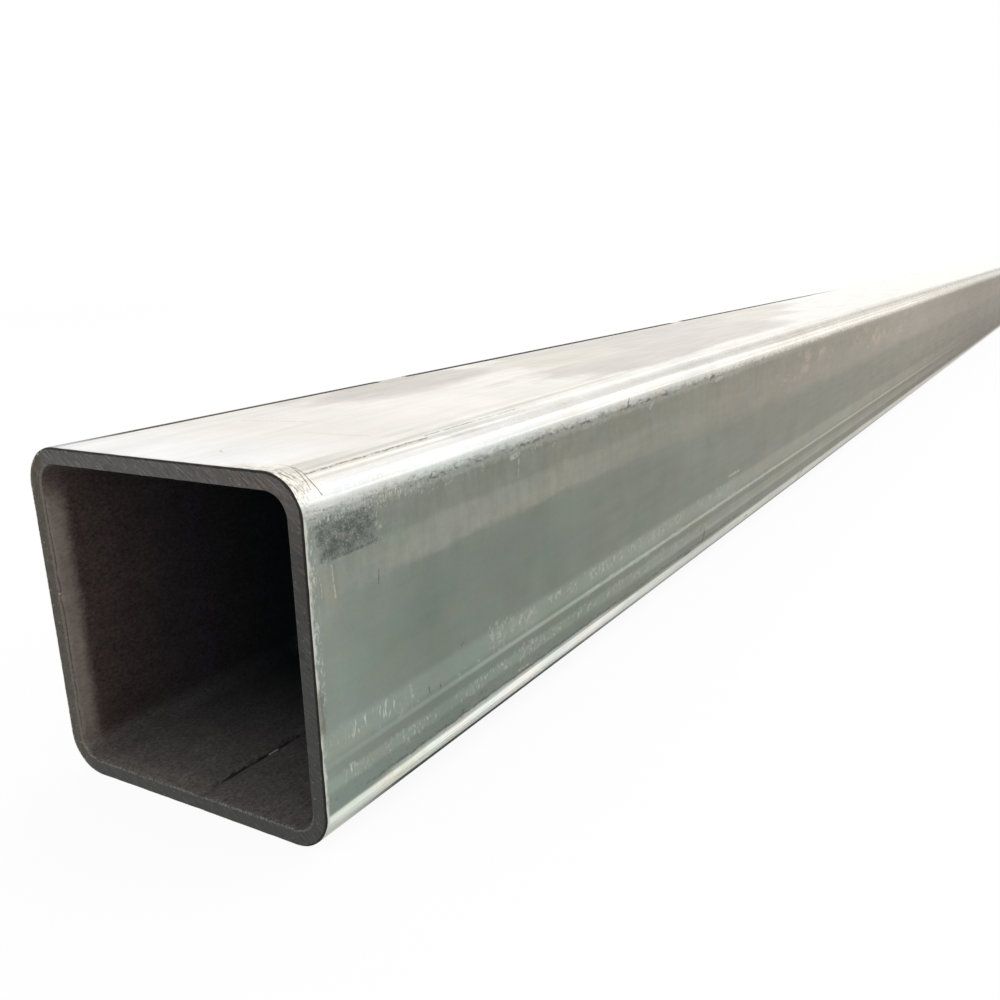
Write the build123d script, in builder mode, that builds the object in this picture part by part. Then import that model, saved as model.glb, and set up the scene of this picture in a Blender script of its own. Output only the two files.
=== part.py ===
"""Square hollow section: a cold-formed, seam-welded steel tube, cut square at both ends.

Steel strip is rolled round into a tube, its two edges are pressed together and welded, and
sizing rolls then square it up. That history gives the section its three tell-tale forms: bends
with one inside radius at all four corners, a bead of squeezed-out metal along the weld inside
the tube, and a shallow hollow along the same weld outside, where the outer bead was planed off.

Frame: the tube lies along X, +Z is up, and the origin is on the floor under the middle of the
tube. All sizes are in millimetres.
"""

from build123d import *
import os

# ---- driving dimensions ----------------------------------------------------------------------
side = 100.0  # outside width and height of the section
wall = 4.75  # thickness of the strip
bend_inside = 6.65  # radius on the inside of each corner
length = 3000.0  # half of the 6 m length that the mill sells

seam_offset = 3.2  # the weld lies this far from the middle of the bottom wall, towards -Y
bead_width = 3.0  # weld bead inside the tube, where it leaves the wall
bead_height = 0.9  # how far the bead stands up from the wall
bead_root = 0.6  # radius of the hollow between bead and wall, on each side

scarf_width = 7.0  # strip along the outside of the weld that the mill planes
scarf_depth = 0.12  # how deep the plane cuts at the middle of that strip

edge_break = 0.35  # bevel that deburring leaves round the outer and inner edge of a cut end

# ---- sizes that follow -----------------------------------------------------------------------
bend_outside = bend_inside + wall
bore = side - 2 * wall
seam = -seam_offset
end_plane = Plane.YZ.offset(-length / 2)  # sketch X is the tube's Y, sketch Y is the tube's Z


def across_seam(width, z):
    """The two points at height z that stand half a width either side of the weld."""
    return (seam - width / 2, z), (seam + width / 2, z)


def foot_of_bead(corner):
    """Whether a corner of the section is where the weld bead meets the bottom wall."""
    reach = abs(corner.X - seam)
    return abs(corner.Y - wall) < wall / 100 and abs(reach - bead_width / 2) < bead_width / 100


# ---- the tube --------------------------------------------------------------------------------
with BuildPart() as square_tube:
    with BuildSketch(end_plane) as section:
        with Locations((0, side / 2)):
            RectangleRounded(side, side, bend_outside)
            RectangleRounded(bore, bore, bend_inside, mode=Mode.SUBTRACT)

        # The bead: an arch over the weld, with its feet sunk into the wall.
        with BuildLine():
            left_foot, right_foot = across_seam(bead_width, wall)
            left_root, right_root = across_seam(bead_width, wall / 2)
            ThreePointArc(left_foot, (seam, wall + bead_height), right_foot)
            Polyline(right_foot, right_root, left_root, left_foot)
        make_face()

        # The planed strip: a hollow with the curve of the plane's blade.
        with BuildLine():
            left_lip, right_lip = across_seam(scarf_width, 0)
            ThreePointArc(left_lip, (seam, scarf_depth), right_lip)
            Line(right_lip, left_lip)
        make_face(mode=Mode.SUBTRACT)

        fillet(section.vertices().filter_by(foot_of_bead), bead_root)
    extrude(amount=length)

    # Deburring takes the sharp edge off both cut ends, outside and inside.
    cut_faces = square_tube.faces().filter_by(Axis.X)
    chamfer(cut_faces.edges(), edge_break)

square_tube.part.label = "square_tube"

os.makedirs("parts", exist_ok=True)
export_step(square_tube.part, "parts/square_tube.step")
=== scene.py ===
# %% [markdown]
# # A square steel tube, from its packed frame to a finished render
#
# The object is one length of square hollow section: a steel strip that was rolled round, welded along
# its edges and pressed square between rollers, then sawn off at both ends. The frame brings the plain
# solid. This lesson gives it the skin of the real thing: burnished bends, roll marks, a dull saw cut, a
# weld bead with an uneven crest and a dark, scaly bore. Some light is painted into it too: highlights on
# the bends, a lighter top wall, light deep in the bore, and shade along some edges and at the weld.
# Blender works in metres. The tube lies along X with its near end at -X, and it rests on the floor at Z = 0.

# %% Load the frame
import math

import bpy
from mathutils import Matrix, Vector, noise


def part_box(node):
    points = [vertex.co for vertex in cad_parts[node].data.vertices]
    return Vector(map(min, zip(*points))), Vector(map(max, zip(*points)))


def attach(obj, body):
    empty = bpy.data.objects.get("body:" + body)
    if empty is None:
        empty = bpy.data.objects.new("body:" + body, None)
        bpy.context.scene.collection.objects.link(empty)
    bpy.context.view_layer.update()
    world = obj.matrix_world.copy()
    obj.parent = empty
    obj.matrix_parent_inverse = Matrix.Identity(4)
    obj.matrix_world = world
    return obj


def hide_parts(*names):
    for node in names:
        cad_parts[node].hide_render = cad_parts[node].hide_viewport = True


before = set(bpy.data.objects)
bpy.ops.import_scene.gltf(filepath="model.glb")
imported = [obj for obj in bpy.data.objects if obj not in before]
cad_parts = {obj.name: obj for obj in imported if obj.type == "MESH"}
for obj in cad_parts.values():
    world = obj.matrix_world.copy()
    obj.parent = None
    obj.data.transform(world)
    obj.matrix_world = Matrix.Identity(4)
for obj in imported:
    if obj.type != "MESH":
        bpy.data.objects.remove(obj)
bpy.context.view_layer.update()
tube_low, tube_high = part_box("square_tube")
MM = 0.001
near_end = tube_low.x
length = tube_high.x - tube_low.x
side = tube_high.z - tube_low.z
print("tube length", round(length, 4), "side", round(side, 4), "near end at", round(near_end, 4))

# %% [markdown]
# ## The camera
#
# The tube is seen from close by, a little above its top wall and off to one side, so the near end is
# large and the long edges run together quickly. A wide lens close to the object gives that look. The
# camera could be aimed with a Track To constraint, but then its roll would be out of our hands. Here its
# three axes are worked out from a heading, a tilt and a roll, and a small lens shift moves the picture
# without turning the camera.

# %% Place the camera
lens_millimetres = 36.0
sensor_millimetres = 36.0
camera_in_front = 0.16827
camera_to_side = 0.19976
camera_above_axis = 0.09592
heading = math.radians(33.152)
tilt = math.radians(18.144)
roll = math.radians(-2.013)
shift_across = 0.04996
shift_up = 0.08348

camera_data = bpy.data.cameras.new("camera")
camera_data.lens = lens_millimetres
camera_data.sensor_width = sensor_millimetres
camera_data.shift_x = shift_across
camera_data.shift_y = shift_up
camera_data.clip_start = 0.01
camera_data.clip_end = 200.0
camera = bpy.data.objects.new("camera", camera_data)
bpy.context.collection.objects.link(camera)

look = Vector((math.cos(heading) * math.cos(tilt), math.sin(heading) * math.cos(tilt), -math.sin(tilt)))
level_right = look.cross(Vector((0, 0, 1))).normalized()
level_up = level_right.cross(look)
camera_right = level_right * math.cos(roll) + level_up * math.sin(roll)
camera_up = level_up * math.cos(roll) - level_right * math.sin(roll)
camera.matrix_world = Matrix((camera_right, camera_up, -look)).transposed().to_4x4()
camera.location = (near_end - camera_in_front, -camera_to_side, side / 2 + camera_above_axis)
bpy.context.scene.camera = camera
bpy.context.scene.view_settings.view_transform = "Standard"
print("camera at", tuple(round(value, 3) for value in camera.location))

# %% [markdown]
# ## Writing materials with a small helper
#
# Every finish below is a tree of nodes, and building one by hand takes a line for each node and each
# wire. A small class shortens that: each of its methods adds a node or a few, connects whatever is
# passed in, and returns the last output, so that a pattern reads like a formula. A second class adds the
# shapes and the noise that the finishes have in common.
#
# Cycles keeps the unfinished results of one material on a small stack, and a material that overflows it
# renders black. The finishes here are long, so the helpers leave out every clamp and every hidden
# conversion that they can do without.

# %% Sockets of the Mix node
# A Mix node has sockets for every kind of value, so they are found by their place and not by their name.
mix_factor = 0
number_under = 2
number_over = 3
number_result = 0
colour_under = 6
colour_over = 7
colour_result = 2
print("a Mix node keeps its colours at", (colour_under, colour_over), "and numbers before them")


# %% A helper that writes node trees
class Wiring:
    """Adds nodes to one tree. A value passed in is wired if it is a socket, and typed in if it isn't."""

    def __init__(self, tree):
        self.tree = tree

    def connect(self, socket, value):
        if isinstance(value, bpy.types.NodeSocket):
            self.tree.links.new(value, socket)
        else:
            socket.default_value = value

    def node(self, kind, **settings):
        made = self.tree.nodes.new(kind)
        for setting, value in settings.items():
            setattr(made, setting, value)
        return made

    def math(self, operation, *values):
        made = self.node("ShaderNodeMath", operation=operation)
        for socket, value in zip(made.inputs, values):
            self.connect(socket, value)
        return made.outputs["Value"]

    def vector(self, operation, *values, scale=None):
        made = self.node("ShaderNodeVectorMath", operation=operation)
        for socket, value in zip(made.inputs, values):
            self.connect(socket, value)
        if scale is not None:
            self.connect(made.inputs["Scale"], scale)
        return made.outputs["Value" if operation in ("DOT_PRODUCT", "LENGTH") else "Vector"]

    def product(self, *values):
        """All the values multiplied together."""
        result = values[0]
        for value in values[1:]:
            result = self.math("MULTIPLY", result, value)
        return result

    def number(self, factor, under, over):
        """A number that goes from under to over as the factor goes from 0 to 1."""
        made = self.node("ShaderNodeMix", data_type="FLOAT")
        self.connect(made.inputs[mix_factor], factor)
        self.connect(made.inputs[number_under], under)
        self.connect(made.inputs[number_over], over)
        return made.outputs[number_result]

    def colour(self, factor, under, over, blend="MIX"):
        """A colour laid over another, as far as the factor says."""
        made = self.node("ShaderNodeMix", data_type="RGBA", blend_type=blend)
        self.connect(made.inputs[mix_factor], factor)
        self.connect(made.inputs[colour_under], under)
        self.connect(made.inputs[colour_over], over)
        return made.outputs[colour_result]

    def scaled(self, tone, amount):
        """A colour made darker or lighter: a mix with black whose factor may also be above 1."""
        made = self.node("ShaderNodeMix", data_type="RGBA", clamp_factor=False)
        self.connect(made.inputs[mix_factor], amount)
        made.inputs[colour_under].default_value = (0.0, 0.0, 0.0, 1.0)
        self.connect(made.inputs[colour_over], tone)
        return made.outputs[colour_result]


print("Wiring can write", [name for name in vars(Wiring) if not name.startswith("_")])


# %% Shapes and noise
class Patterns(Wiring):
    """A Wiring that can also write what finishes are made of: soft-edged shapes, ramps and noise."""

    def rise(self, value, low, high):
        """0 below low and 1 above high, with a smooth step between. It falls if low is above high."""
        made = self.node("ShaderNodeMapRange", interpolation_type="SMOOTHSTEP", clamp=False)
        falling = low > high
        self.connect(made.inputs["Value"], value)
        made.inputs["From Min"].default_value = min(low, high)
        made.inputs["From Max"].default_value = max(low, high)
        made.inputs["To Min"].default_value = float(falling)
        made.inputs["To Max"].default_value = float(not falling)
        return made.outputs["Result"]

    def window(self, value, low, high, soft):
        """1 between low and high, falling smoothly to 0 over the soft distance on both sides."""
        rising = self.rise(value, low - soft / 2, low + soft / 2)
        falling = self.rise(value, high + soft / 2, high - soft / 2)
        return self.math("MULTIPLY", rising, falling)

    def ramp(self, value, *stops):
        """A colour that changes with value. Each stop is a value and the colour it has there."""
        low, high = stops[0][0], stops[-1][0]
        share = self.node("ShaderNodeMapRange", clamp=False)
        self.connect(share.inputs["Value"], value)
        share.inputs["From Min"].default_value = low
        share.inputs["From Max"].default_value = high
        made = self.node("ShaderNodeValToRGB")
        elements = made.color_ramp.elements
        elements[0].color = stops[0][1]
        elements[1].color = stops[-1][1]
        for stop, tone in stops[1:-1]:
            elements.new((stop - low) / (high - low)).color = tone
        self.connect(made.inputs["Fac"], share.outputs["Result"])
        return made.outputs["Color"]

    def vary(self, tone, pattern, amount):
        """Multiplies a tone by a pattern of 0 to 1, so that it swings by amount about its own value."""
        swing = self.math("MULTIPLY_ADD", self.math("SUBTRACT", pattern, 0.5), amount, 1.0)
        return self.math("MULTIPLY", tone, swing)

    def stroke(self, place, start, end, width):
        """1 on a straight scratch from start to end, in the plane of the first two axes, and 0 off it."""
        rim = 0.15
        run = (end[0] - start[0], end[1] - start[1])
        square = run[0] ** 2 + run[1] ** 2
        offset = self.vector("SUBTRACT", place, (*start, 0.0))
        share = self.vector("DOT_PRODUCT", offset, (run[0] / square, run[1] / square, 0.0))
        share = self.math("MINIMUM", self.math("MAXIMUM", share, 0.0), 1.0)
        nearest = self.vector("SCALE", (*run, 0.0), scale=share)
        distance = self.vector("LENGTH", self.vector("SUBTRACT", offset, nearest))
        return self.rise(distance, width / 2 + rim, width / 2 - rim)

    def grain(self, place, sizes, detail=3.0, rough=0.55, seed=0.0):
        """Cloudy noise, 0 to 1, with blotches of these sizes along the axes. Each seed gives another."""
        stretched = self.node("ShaderNodeMapping")
        self.connect(stretched.inputs["Vector"], place)
        stretched.inputs["Scale"].default_value = [1 / size for size in sizes]
        stretched.inputs["Location"].default_value = (seed, seed * 1.7, seed * 0.6)
        made = self.node("ShaderNodeTexNoise")
        self.connect(made.inputs["Vector"], stretched.outputs["Vector"])
        made.inputs["Scale"].default_value = 1.0
        made.inputs["Detail"].default_value = detail
        made.inputs["Roughness"].default_value = rough
        return made.outputs["Fac"]


print("Patterns can also write", [name for name in vars(Patterns) if not name.startswith("_")])


# %% Colours as a screen shows them
def paint(red, green, blue):
    """A colour written as 0 to 255, as on a screen, turned into the linear values that nodes use."""
    steps = [value / 255 for value in (red, green, blue)]
    linear = [v / 12.92 if v <= 0.04045 else ((v + 0.055) / 1.055) ** 2.4 for v in steps]
    return (*linear, 1.0)


print("mid grey 128 is", round(paint(128, 128, 128)[0], 3), "in linear light")

# %% [markdown]
# ## Floor, backdrop and light
#
# Bare steel is a mirror with a haze on it: it looks like whatever stands around it. So a studio for
# metal is mostly large, pale, soft surfaces. It could be built from white walls, but a plain world and a
# wide floor do the same with less. The world shows white, and the floor almost white, to the camera and
# to anything that mirrors or lets light through, while the light that they give to the object stays at
# an ordinary level. The Light Path node tells these rays apart.

# %% World
fill_strength = 0.35
seen_strength = 1.0

world = bpy.data.worlds.new("studio")
bpy.context.scene.world = world
world.use_nodes = True
# An even world needs no aimed samples: rays that miss everything find it by themselves.
world.cycles.sampling_method = "NONE"
backdrop = Wiring(world.node_tree)


def seen_directly(wiring):
    """1 for rays from the camera, from a mirror or through glass, and 0 for the light falling on things."""
    path = wiring.node("ShaderNodeLightPath").outputs
    mirrored = wiring.math("MAXIMUM", path["Is Glossy Ray"], path["Is Transmission Ray"])
    return wiring.math("MAXIMUM", path["Is Camera Ray"], mirrored)


background = world.node_tree.nodes["Background"]
background.inputs["Color"].default_value = (1.0, 1.0, 1.0, 1.0)
world_strength = backdrop.number(seen_directly(backdrop), fill_strength, seen_strength)
backdrop.connect(background.inputs["Strength"], world_strength)
print("world lights at", fill_strength, "and is seen at", seen_strength)

# %% Floor mesh
floor_half = 40.0
floor_steps = 8

floor_points = [
    (floor_half * (2 * column / floor_steps - 1), floor_half * (2 * row / floor_steps - 1), 0.0)
    for row in range(floor_steps + 1)
    for column in range(floor_steps + 1)
]
floor_faces = [
    (start, start + 1, start + floor_steps + 2, start + floor_steps + 1)
    for row in range(floor_steps)
    for start in range(row * (floor_steps + 1), row * (floor_steps + 1) + floor_steps)
]
floor_mesh = bpy.data.meshes.new("floor")
floor_mesh.from_pydata(floor_points, [], floor_faces)
floor = bpy.data.objects.new("floor", floor_mesh)
bpy.context.collection.objects.link(floor)
print("floor is", 2 * floor_half, "metres wide")

# %% Floor paper
paper_white = 0.85
glow_near_tube = 0.92
glow_far_away = 1.0
glow_fade = (2.0, 5.0)

floor_paper = bpy.data.materials.new("pale_paper")
floor_paper.use_nodes = True
# The floor glows only where it is looked at, so it isn't sampled as a lamp.
floor_paper.cycles.emission_sampling = "NONE"
paper = Patterns(floor_paper.node_tree)
paper_shader = floor_paper.node_tree.nodes["Principled BSDF"]
paper_shader.inputs["Base Color"].default_value = (paper_white, paper_white, paper_white, 1.0)
paper_shader.inputs["Roughness"].default_value = 0.9
paper_shader.inputs["Specular IOR Level"].default_value = 0.0
paper_glow = paper.node("ShaderNodeEmission")
paper_glow.inputs["Strength"].default_value = 1.0
paper_mix = paper.node("ShaderNodeMixShader")
paper_place = paper.node("ShaderNodeTexCoord").outputs["Object"]
glow = paper.rise(paper.vector("LENGTH", paper_place), *glow_fade)
glow = paper.number(glow, glow_near_tube, glow_far_away)
paper.connect(paper_mix.inputs[0], paper.math("MULTIPLY", seen_directly(paper), glow))
paper.connect(paper_mix.inputs[1], paper_shader.outputs["BSDF"])
paper.connect(paper_mix.inputs[2], paper_glow.outputs["Emission"])
paper.connect(floor_paper.node_tree.nodes["Material Output"].inputs["Surface"], paper_mix.outputs["Shader"])
floor_mesh.materials.append(floor_paper)
print("floor paper glows from", glow_near_tube, "to", glow_far_away)

# %% [markdown]
# ## Softboxes
#
# A polished tube shows its lamps as long stripes, and small lamps would make them thin and hard. A sky
# texture could light it softly, but evenly, without any sheen. So the lamps are wide panels. One stands
# beyond the far end, where the top wall mirrors it, a long strip hangs along the front side, one is
# overhead, and one stands before the near mouth, so that the sawn face isn't lost in shade.


# %% Softboxes
def softbox(name, centre, aim, width, height, brightness):
    """A rectangular area light, with the watts that make it as bright as a surface of that strength."""
    light = bpy.data.lights.new(name, "AREA")
    light.shape = "RECTANGLE"
    light.size = width
    light.size_y = height
    light.energy = math.pi * brightness * width * height
    lamp = bpy.data.objects.new(name, light)
    lamp.location = centre
    lamp.rotation_mode = "QUATERNION"
    lamp.rotation_quaternion = (Vector(aim) - Vector(centre)).to_track_quat("-Z", "Y")
    lamp.visible_camera = False
    bpy.context.collection.objects.link(lamp)


near_mouth = (near_end, 0.0, side / 2)
on_the_axis = (6.0, 0.0, side / 2)
softbox("back_softbox", (6.5, 6.6, 2.6), (0.0, 6.6, 2.6), width=13.0, height=5.0, brightness=1.35)
softbox("strip_softbox", (6.0, -2.3, 1.75), on_the_axis, width=16.0, height=1.6, brightness=1.6)
softbox("overhead_softbox", (0.0, 0.5, 5.0), (0.0, 0.5, 0.0), width=12.0, height=8.0, brightness=1.2)
softbox("front_softbox", (-4.0, -1.8, 1.2), near_mouth, width=3.0, height=2.4, brightness=0.8)

# %% [markdown]
# ## The tube's section
#
# Across its length the tube is the same everywhere, so it is made as one section swept along X. A mesh
# could come from a bevelled curve, but then the outside and the inside couldn't have different numbers
# of steps along the length. Here the section is a list of places on the strip, measured around the
# outside from the middle of the front wall (the -Y one). The same list gives the outside and the bore,
# because the flats are equally long and only the bends differ in radius.

# %% Sizes of the section
wall = 4.75 * MM
bend_inside = 6.65 * MM
bend_outside = bend_inside + wall
half = side / 2
flat = half - bend_outside
arc = bend_outside * math.pi / 2
wall_pitch = 2 * flat + arc
weld_to_front = 3.2 * MM
strip_start = -flat - arc - (flat - weld_to_front)
strip_width = 4 * wall_pitch
print("strip is", round(strip_width / MM, 1), "mm wide and starts at", round(strip_start / MM, 1))


# %% Places around the strip
def steps_between(low, high, spacing):
    """Evenly spaced places from low up to, but not including, high."""
    count = max(1, round((high - low) / spacing))
    return [low + (high - low) * step / count for step in range(count)]


weld_zone = 5 * MM
track_zone_top = -15 * MM
weld_spacing = 0.4 * MM
track_spacing = 1.0 * MM
front_spacing = 2.4 * MM
wall_spacing = 2.6 * MM
bend_spacing = arc / 12
around = []
around += steps_between(strip_start, strip_start + weld_zone, weld_spacing)
around += steps_between(strip_start + weld_zone, -flat - arc, wall_spacing)
around += steps_between(-flat - arc, -flat, bend_spacing)
around += steps_between(-flat, track_zone_top, track_spacing)
around += steps_between(track_zone_top, flat, front_spacing)
for turn in (0, 1):
    bend_start = flat + turn * wall_pitch
    around += steps_between(bend_start, bend_start + arc, bend_spacing)
    around += steps_between(bend_start + arc, bend_start + wall_pitch, wall_spacing)
bend_start = flat + 2 * wall_pitch
strip_end = strip_start + strip_width
around += steps_between(bend_start, bend_start + arc, bend_spacing)
around += steps_between(bend_start + arc, strip_end - weld_zone, wall_spacing)
around += steps_between(strip_end - weld_zone, strip_end, weld_spacing)
print(len(around), "places around the strip")


# %% From a place on the strip to a point of the section
def on_section(place, depth):
    """The point of the section at a place around the strip, at a depth under the outer skin."""
    turns, rest = divmod(place + flat, wall_pitch)
    along_wall = rest - flat
    bend_angle = max(0.0, rest - 2 * flat) / bend_outside
    if bend_angle > 0:
        out = half - bend_outside + (bend_outside - depth) * math.cos(bend_angle)
        across = half - bend_outside + (bend_outside - depth) * math.sin(bend_angle)
    else:
        out = half - depth
        across = along_wall
    quarter = int(turns) * math.pi / 2
    y = -out * math.cos(quarter) + across * math.sin(quarter)
    z = out * math.sin(quarter) + across * math.cos(quarter)
    return Vector((0, y, z + half))


corner_point = on_section(flat + arc / 2, 0.0)
print("middle of the top front bend at", tuple(round(value, 4) for value in corner_point))

# %% [markdown]
# ## Small unevenness of rolled and sawn steel
#
# A rolled wall is never quite flat, the front one carries faint tracks from the rollers, the saw leaves
# a slightly wavy face, and the weld bead inside rises and falls. Each of these could be left to a bump
# pattern, but they change the outline and the way long reflections bend, so they are given to the mesh.
# Perlin noise from mathutils is used because it gives the same numbers on every run.

# %% Relief of the walls
hollow_of_walls = 0.12 * MM
skin_waves = 0.02 * MM
scarf_half_width = 3.5 * MM
scarf_depth = 0.12 * MM
# Middle, half width and depth of each track.
roller_tracks = (
    (-24.3 * MM, 0.5 * MM, 0.05 * MM),
    (-27.5 * MM, 1.1 * MM, 0.05 * MM),
    (-33.8 * MM, 0.6 * MM, 0.05 * MM),
    (-37.2 * MM, 0.5 * MM, 0.06 * MM),
)


def bump_at(distance, half_width):
    """A smooth hill: 1 in the middle and 0 beyond its half width."""
    reach = min(1.0, abs(distance) / half_width)
    return (1 - reach * reach) ** 2


def outside_depth(along, place):
    """How far the outer skin lies under the perfect section, there. It never stands proud of it."""
    rest = (place + flat) % wall_pitch
    across = min(1.0, rest / (2 * flat))
    depth = hollow_of_walls * 4 * across * (1 - across)
    for track, half_width, track_depth in roller_tracks:
        depth += track_depth * bump_at(place - track, half_width)
    from_weld = min(place - strip_start, strip_end - place)
    depth += scarf_depth * bump_at(from_weld, scarf_half_width)
    waviness = noise.noise(Vector((along * 9, place * 40, 3.0)))
    return depth + skin_waves * (1 + waviness)


print("the middle of a wall lies", round(outside_depth(0.5, 0.0) / MM, 3), "mm under the perfect plane")

# %% Relief of the bore
bore_waves = 0.03 * MM
bead_half_width = 1.5 * MM
bead_height = 0.9 * MM
bead_root = 0.6 * MM
bead_crest = 0.88
bead_crest_swing = 0.1
bead_left_at_cut = 0.3
bead_taper = 25 * MM


def bead_rise(along, place):
    """Height of the weld bead above the inner wall. Its crest wanders, and was filed down at the cuts."""
    from_weld = min(place - strip_start, strip_end - place)
    if from_weld > bead_half_width + bead_root:
        return 0.0
    from_end = min(along, length - along)
    crest = bead_crest + bead_crest_swing * noise.noise(Vector((along * 120, 7.0, 0.0)))
    crest *= min(1.0, bead_left_at_cut + (1 - bead_left_at_cut) * from_end / bead_taper)
    if from_weld > bead_half_width - bead_root / 2:
        foot = (bead_half_width + bead_root - from_weld) / (1.5 * bead_root)
        rim = 1 - ((bead_half_width - bead_root / 2) / bead_half_width) ** 2
        return bead_height * crest * rim * foot * foot
    return bead_height * crest * (1 - (from_weld / bead_half_width) ** 2)


def bore_depth(along, place):
    """How far the bore's skin lies under the outside, there."""
    rough = noise.noise(Vector((along * 60, place * 300, 11.0)))
    return wall + bore_waves * (1 + rough) - bead_rise(along, place)


print("the bead stands", round(bead_rise(0.5, strip_start) / MM, 2), "mm high")


# %% The broken edges of the cut
saw_waves = 0.03 * MM


def outer_bevel(place):
    """Width of the filed edge outside, which a hand tool leaves uneven."""
    return (0.42 + 0.22 * noise.noise(Vector((place * 260, 1.0, 5.0)))) * MM


def inner_bevel(place):
    """Width of the broken edge inside. The saw tore more out of the back wall, where it left the steel."""
    at_back = bump_at(place - 2 * wall_pitch, 1.3 * flat)
    uneven = noise.noise(Vector((place * 240, 2.0, 9.0)))
    return (0.4 + 0.18 * uneven + at_back * (0.55 + 0.5 * uneven)) * MM


def saw_step(place, share):
    """How deep the sawn face lies there. share runs from 0 at the outside to 1 at the bore."""
    return saw_waves * (1 + noise.noise(Vector((place * 90, share * 2, 4.0))))


print("outer bevel", round(outer_bevel(0.0) / MM, 2), "inner bevel", round(inner_bevel(0.0) / MM, 2), "mm")

# %% [markdown]
# ## The tube as one closed mesh
#
# The surface is a chain of rings. They run along the outside from the near end to the far end, across
# the far cut, back through the bore, and across the near cut to where they began, so that the mesh closes
# on itself like a ring and has no loose edge. A Boolean could cut the bore out of a block instead, but
# its faces would be long slivers that shade badly and leave no say in where the points go. Rings stand
# close together near the ends, where there is most to see, and far apart in the middle. Every ring has
# the same number of points, so each face is a four-sided one between two neighbours.


# %% Places along the tube
def growing_steps(start, end, first, growth, largest):
    """Places from start towards end, a first step apart, with steps that grow up to a largest one."""
    places = []
    place, step = start, first
    while place < end - step / 2:
        places.append(place)
        place += step
        step = min(step * growth, largest)
    return places


def stations(margin, first, growth, largest):
    """Places along the whole tube, dense at the near end and, less so, at the far one."""
    near = growing_steps(margin, length * 0.75, first, growth, largest)
    far = growing_steps(margin, length * 0.25, 2.5 * first, 1.6 * growth, 1.5 * largest)
    return near + [length - place for place in reversed(far)]


outside_stations = stations(margin=1.6 * MM, first=1.1 * MM, growth=1.012, largest=24 * MM)
bore_stations = stations(margin=2.2 * MM, first=1.6 * MM, growth=1.03, largest=32 * MM)
print(len(outside_stations), "stations outside and", len(bore_stations), "in the bore")

# %% Rings of the outside and the bore
points = []
rings = []


def add_ring(zone, along, depth):
    """One ring of points. along and depth are functions of the place around the strip."""
    for place in around:
        across = on_section(place, depth(place))
        points.append((near_end + along(place), across.y, across.z))
    rings.append((zone, along))


def outside_ring(along):
    add_ring("outside", lambda place: along, lambda place: outside_depth(along, place))


def bore_ring(along):
    add_ring("bore", lambda place: along, lambda place: bore_depth(along, place))


print("each ring has", len(around), "points")


# %% Rings of the bevels and the cuts
def end_distance(place_from_end, at_far_end):
    """Turns a distance from a cut into a place along the tube."""
    return length - place_from_end if at_far_end else place_from_end


def bevel_ring(is_outer, at_far_end, angle):
    """A ring on the rounded edge between a cut and the outside, or a cut and the bore."""
    width = outer_bevel if is_outer else inner_bevel
    skin = outside_depth if is_outer else bore_depth
    inwards = 1 if is_outer else -1
    cut = 0.0 if is_outer else 1.0

    def along(place):
        lift = saw_step(place, cut) * math.cos(angle)
        return end_distance(lift + width(place) * (1 - math.cos(angle)), at_far_end)

    def depth(place):
        return skin(end_distance(0.0, at_far_end), place) + inwards * width(place) * (1 - math.sin(angle))

    add_ring("bevel", along, depth)


def cut_ring(at_far_end, share):
    """A ring on a sawn face, at a share of the way from its outer to its inner edge."""

    def depth(place):
        end = end_distance(0.0, at_far_end)
        outer = outside_depth(end, place) + outer_bevel(place)
        inner = bore_depth(end, place) - inner_bevel(place)
        return outer + share * (inner - outer)

    add_ring("cut", lambda place: end_distance(saw_step(place, share), at_far_end), depth)


print("the near cut lies", round(saw_step(0.0, 0.5) / MM, 3), "mm inside the end of the frame's solid")

# %% The chain of rings, from the near outer edge round to where it began
bevel_angles = [math.radians(angle) for angle in (0, 30, 60, 90)]
cut_shares = (0.06, 0.25, 0.5, 0.75, 0.94)
for angle in bevel_angles:
    bevel_ring(is_outer=True, at_far_end=False, angle=angle)
for place_along in outside_stations:
    outside_ring(place_along)
for angle in reversed(bevel_angles):
    bevel_ring(is_outer=True, at_far_end=True, angle=angle)
for share in cut_shares:
    cut_ring(at_far_end=True, share=share)
for angle in bevel_angles:
    bevel_ring(is_outer=False, at_far_end=True, angle=angle)
for place_along in reversed(bore_stations):
    bore_ring(place_along)
for angle in reversed(bevel_angles):
    bevel_ring(is_outer=False, at_far_end=False, angle=angle)
for share in reversed(cut_shares):
    cut_ring(at_far_end=False, share=share)
print(len(rings), "rings and", len(points), "points")

# %% Faces, and the zone that each one lies in
zones = ("outside", "cut", "bore")
faces = []
face_zones = []
face_corners = []
count = len(around)
for here in range(len(rings)):
    there = (here + 1) % len(rings)
    pair = (rings[here][0], rings[there][0])
    zone = "cut" if "cut" in pair or pair == ("bevel", "bevel") else max(pair)
    for step in range(count):
        beyond = (step + 1) % count
        faces.append(
            (here * count + step, there * count + step, there * count + beyond, here * count + beyond)
        )
        face_zones.append(zones.index(zone))
        face_corners.append(((here, step), (there, step), (there, step + 1), (here, step + 1)))
print(2 * len(faces), "triangles in the tube")

# %% The mesh
sharpest_smooth_edge = math.radians(40)
tube_mesh = bpy.data.meshes.new("steel_tube")
tube_mesh.from_pydata(points, [], faces)
tube_mesh.polygons.foreach_set("material_index", face_zones)
tube_mesh.polygons.foreach_set("use_smooth", [True] * len(faces))
tube_mesh.set_sharp_from_angle(angle=sharpest_smooth_edge)
tube = bpy.data.objects.new("steel_tube", tube_mesh)
bpy.context.collection.objects.link(tube)
print("the tube has", len(tube_mesh.polygons), "faces")

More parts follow.
